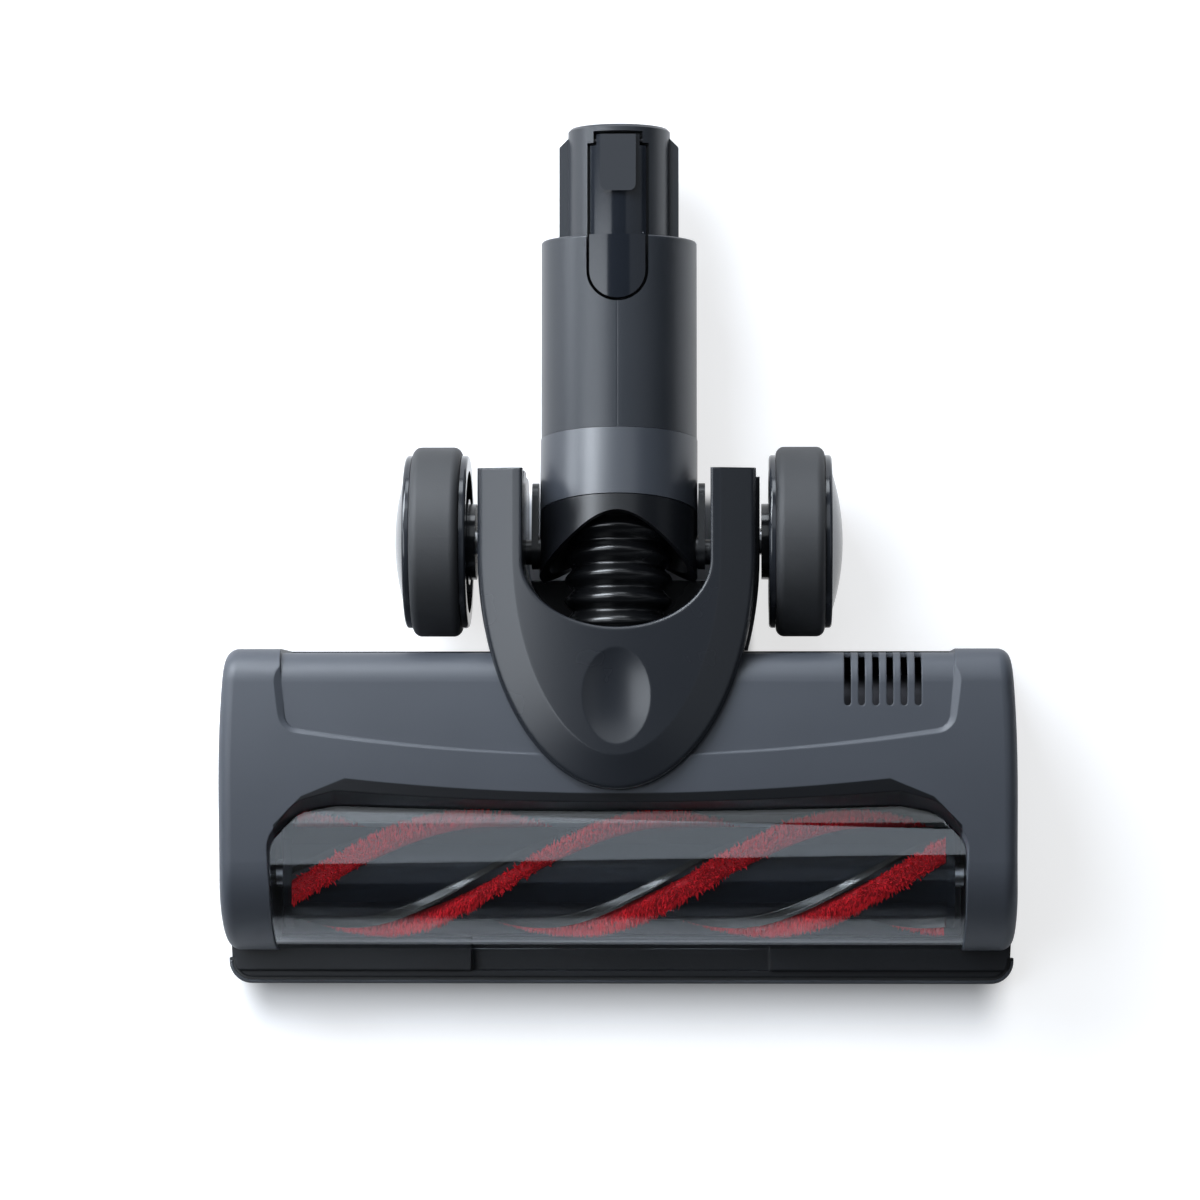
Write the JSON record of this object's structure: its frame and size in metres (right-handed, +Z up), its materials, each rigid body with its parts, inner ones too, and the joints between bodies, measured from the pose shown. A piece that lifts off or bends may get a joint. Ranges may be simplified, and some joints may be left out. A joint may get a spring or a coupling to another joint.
{
  "type": "vacuum floor brush head",
  "caption": "Stick vacuum floor brush head with a clear window over a driven bristle roller, a wheeled yoke, a bellows and a tilting, swivelling neck that ends in a latched wand spigot.",
  "frame": {"origin": "on the floor under the middle of the box of the whole head", "axes": "+Z up, +Y back along the neck towards the wand, +X to the right seen from above with the wand at the back"},
  "size_m": [0.24, 0.26, 0.06],
  "materials": {
    "shell": "satin charcoal moulding",
    "window": "clear polished plastic",
    "sole": "satin moulding",
    "bumper": "soft strip",
    "yoke": "satin charcoal moulding",
    "tyre": "matt soft tread",
    "hub": "gloss moulding",
    "cap": "gloss moulding",
    "bellows": "soft folded sleeve",
    "collar": "satin moulding",
    "cuff": "satin moulding",
    "tube": "satin moulding",
    "spigot": "satin moulding",
    "latch": "gloss black moulding",
    "roller": "plain moulding",
    "bristle": "dense red bristle tufts",
    "fin": "soft wiping fin",
    "inner": "plain moulding",
    "bearing": "sintered bush",
    "steel": "plain steel",
    "pulley": "plain moulding",
    "motor": "drawn steel can",
    "belt": "ribbed belt",
    "sole_wheel": "plain moulding",
    "contact": "plated contact"
  },
  "bodies": {
    "housing": {"upper_housing": "shell", "clear_window": "window", "base_plate": "sole", "front_bumper": "bumper", "roller_tunnel": "inner", "suction_duct": "inner", "left_bulkhead": "inner", "right_bulkhead": "inner", "left_roller_bearing": "bearing", "right_roller_bearing": "bearing", "motor_can": "motor", "drive_belt": "belt", "yoke_cover": "yoke", "yoke_base": "yoke", "left_wheel_axle": "steel", "right_wheel_axle": "steel", "left_sole_axle": "steel", "right_sole_axle": "steel", "housing_screws": "steel", "yoke_screws": "steel", "bellows": "bellows"},
    "collar": {"pivot_collar": "collar", "swivel_clip": "steel"},
    "neck": {"neck_cuff": "cuff", "neck_tube": "tube", "connector_spigot": "spigot", "latch_pin": "steel", "latch_spring": "steel", "contact_block": "inner", "contact_pins": "contact"},
    "latch": {"latch_lever": "latch"},
    "left_wheel": {"left_tyre": "tyre", "left_wheel_hub": "hub", "left_hub_cap": "cap"},
    "right_wheel": {"right_tyre": "tyre", "right_wheel_hub": "hub", "right_hub_cap": "cap"},
    "brush_roller": {"roller_core": "roller", "roller_shaft": "steel", "red_bristles": "bristle", "soft_fins": "fin", "roller_pulley": "pulley"},
    "motor": {"motor_rotor": "steel", "motor_pulley": "pulley"},
    "left_foot_roller": {"left_sole_roller": "sole_wheel"},
    "right_foot_roller": {"right_sole_roller": "sole_wheel"}
  },
  "joints": [
    {"name": "neck_tilt", "type": "hinge", "parent": "housing", "child": "collar", "pos_m": [0, 0.001, 0.0335], "axis": [1, 0, 0], "range_deg": [0, 90], "deforming": ["bellows"]},
    {"name": "neck_swivel", "type": "hinge", "parent": "collar", "child": "neck", "pos_m": [0, 0.001, 0.0335], "axis": [0, 0.9744, -0.225], "range_deg": [-60, 60]},
    {"name": "latch_press", "type": "hinge", "parent": "neck", "child": "latch", "pos_m": [0, 0.1252, 0.03708], "axis": [1, 0, 0], "range_deg": [0, 4.5], "stiffness_Nm_per_rad": 0.4, "springref_deg": -5.73, "deforming": ["latch_spring"]},
    {"name": "left_wheel_spin", "type": "hinge", "parent": "housing", "child": "left_wheel", "pos_m": [-0.055, 0.0044, 0.0287], "axis": [1, 0, 0], "continuous": true},
    {"name": "right_wheel_spin", "type": "hinge", "parent": "housing", "child": "right_wheel", "pos_m": [0.055, 0.0044, 0.0287], "axis": [1, 0, 0], "continuous": true},
    {"name": "roller_spin", "type": "hinge", "parent": "housing", "child": "brush_roller", "pos_m": [0, -0.096, 0.0206], "axis": [1, 0, 0], "continuous": true},
    {"name": "motor_spin", "type": "hinge", "parent": "housing", "child": "motor", "pos_m": [0.085, -0.05, 0.033], "axis": [1, 0, 0], "continuous": true},
    {"name": "left_foot_roller_spin", "type": "hinge", "parent": "housing", "child": "left_foot_roller", "pos_m": [-0.07, -0.062, 0.006], "axis": [1, 0, 0], "continuous": true},
    {"name": "right_foot_roller_spin", "type": "hinge", "parent": "housing", "child": "right_foot_roller", "pos_m": [0.07, -0.062, 0.006], "axis": [1, 0, 0], "continuous": true}
  ],
  "couplings": [
    {"joint": "motor_spin", "follows": "roller_spin", "ratio": 2.4}
  ]
}
